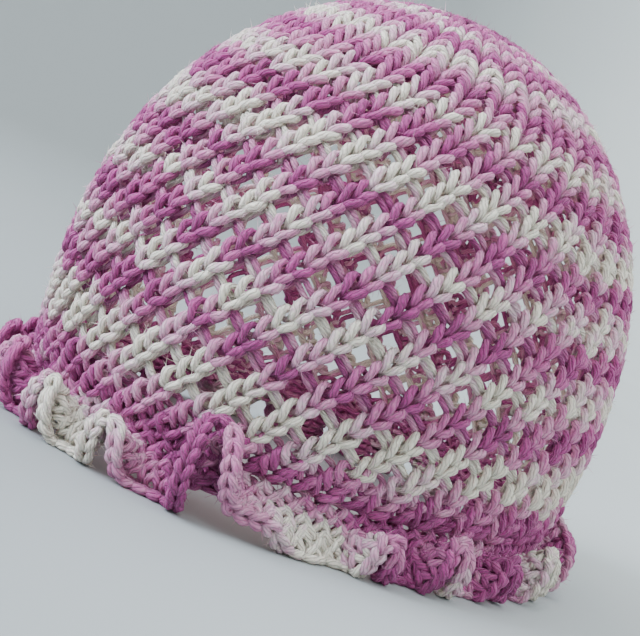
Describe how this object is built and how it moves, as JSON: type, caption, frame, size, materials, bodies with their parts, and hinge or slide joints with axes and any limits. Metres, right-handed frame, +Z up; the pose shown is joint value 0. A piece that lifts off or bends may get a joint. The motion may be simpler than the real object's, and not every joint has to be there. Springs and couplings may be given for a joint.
{
  "type": "knit toque",
  "caption": "Lacy openwork hand-knit cap with leaning chains of stitches, a close-knit crown and a ruffled brim.",
  "frame": {"origin": "centre of the bounding box's underside, on the floor that the frill rests on", "axes": "+Z up to the crown, -Y to the front of the cap, +X to its side"},
  "size_m": [0.1702, 0.217, 0.1478],
  "materials": {
    "crown_top": "matte",
    "lace_body": "matte",
    "brim_band": "matte",
    "ruffle": "matte"
  },
  "bodies": {
    "root": {"crown_top": "crown_top", "lace_body": "lace_body", "brim_band": "brim_band", "ruffle": "ruffle"}
  },
  "joints": []
}
